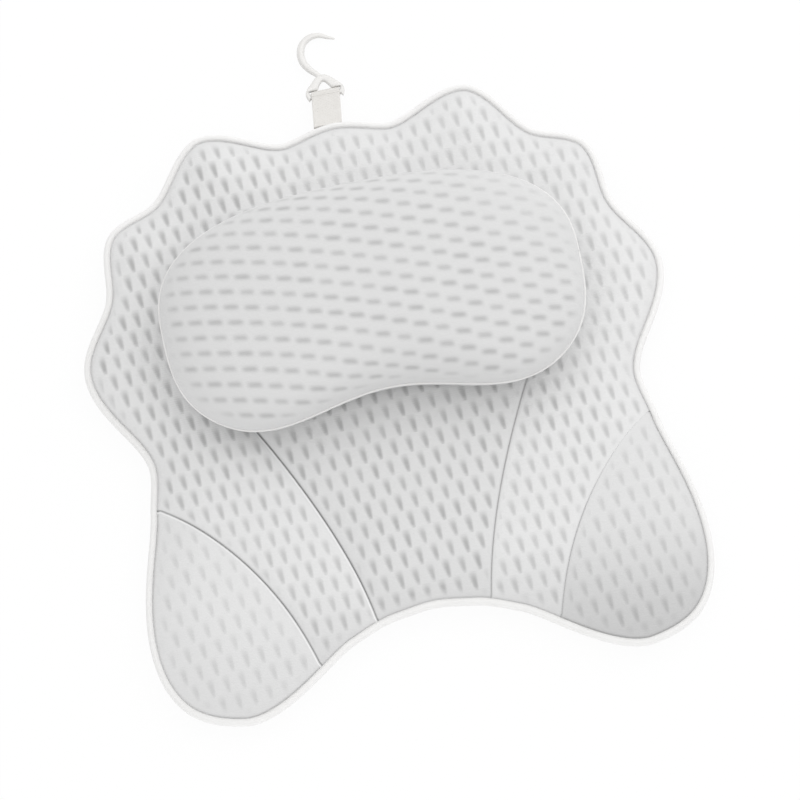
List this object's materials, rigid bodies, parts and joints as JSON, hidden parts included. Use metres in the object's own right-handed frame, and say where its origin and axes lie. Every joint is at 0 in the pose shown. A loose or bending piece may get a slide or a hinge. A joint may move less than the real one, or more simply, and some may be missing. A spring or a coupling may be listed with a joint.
{
  "type": "bath pillow",
  "caption": "Scalloped spacer-mesh bath pillow with a kidney-shaped head bolster, bound edge, suction cups on its back and a hanging hook on a webbing loop.",
  "frame": {"origin": "on the surface that the suction cups stand on, under the middle of the whole pillow, hook included", "axes": "+X to the pillow's right seen from its face with the hook up, +Y towards the hook, +Z out of the face"},
  "size_m": [0.399, 0.4634, 0.1005],
  "materials": {
    "spacer_mesh": "white knitted spacer mesh",
    "padding": "white open padding",
    "lining": "plain white woven back",
    "binding_tape": "smooth white binding tape",
    "webbing": "off-white woven webbing",
    "hook_plastic": "glossy off-white",
    "eyelet_plastic": "matte white",
    "cup_rubber": "milky soft vinyl"
  },
  "bodies": {
    "pillow": {"front_fan_cover": "spacer_mesh", "front_centre_cover": "spacer_mesh", "front_leg_cover_right": "spacer_mesh", "front_leg_cover_left": "spacer_mesh", "panel_core": "padding", "back_cover": "lining", "edge_binding": "binding_tape", "bolster_top_cover": "spacer_mesh", "bolster_base_cover": "spacer_mesh", "bolster_core": "padding", "cup_eyelet_upper_right": "eyelet_plastic", "cup_eyelet_upper_left": "eyelet_plastic", "cup_eyelet_middle_right": "eyelet_plastic", "cup_eyelet_middle_left": "eyelet_plastic", "cup_eyelet_leg_right": "eyelet_plastic", "cup_eyelet_leg_left": "eyelet_plastic"},
    "loop": {"hang_loop": "webbing"},
    "hook": {"hang_hook": "hook_plastic"},
    "cup_upper_right": {"suction_cup_upper_right": "cup_rubber"},
    "cup_upper_left": {"suction_cup_upper_left": "cup_rubber"},
    "cup_middle_right": {"suction_cup_middle_right": "cup_rubber"},
    "cup_middle_left": {"suction_cup_middle_left": "cup_rubber"},
    "cup_leg_right": {"suction_cup_leg_right": "cup_rubber"},
    "cup_leg_left": {"suction_cup_leg_left": "cup_rubber"}
  },
  "joints": [
    {"name": "loop_fold", "type": "hinge", "parent": "pillow", "child": "loop", "pos_m": [-0.0031, 0.16574, 0.017], "axis": [1, 0, 0], "range_deg": [-65, 115]},
    {"name": "hook_swing", "type": "hinge", "parent": "loop", "child": "hook", "pos_m": [-0.0002, 0.18722, 0.00698], "axis": [1, 0, 0], "range_deg": [-75, 70]},
    {"name": "cup_upper_right_turn", "type": "hinge", "parent": "pillow", "child": "cup_upper_right", "pos_m": [0.08189, 0.10535, 0.014], "axis": [0, 0, 1], "continuous": true},
    {"name": "cup_upper_left_turn", "type": "hinge", "parent": "pillow", "child": "cup_upper_left", "pos_m": [-0.08189, 0.10535, 0.014], "axis": [0, 0, 1], "continuous": true},
    {"name": "cup_middle_right_turn", "type": "hinge", "parent": "pillow", "child": "cup_middle_right", "pos_m": [0.13522, -0.00264, 0.014], "axis": [0, 0, 1], "continuous": true},
    {"name": "cup_middle_left_turn", "type": "hinge", "parent": "pillow", "child": "cup_middle_left", "pos_m": [-0.13522, -0.00264, 0.014], "axis": [0, 0, 1], "continuous": true},
    {"name": "cup_leg_right_turn", "type": "hinge", "parent": "pillow", "child": "cup_leg_right", "pos_m": [0.14121, -0.16981, 0.014], "axis": [0, 0, 1], "continuous": true},
    {"name": "cup_leg_left_turn", "type": "hinge", "parent": "pillow", "child": "cup_leg_left", "pos_m": [-0.14121, -0.16981, 0.014], "axis": [0, 0, 1], "continuous": true}
  ]
}
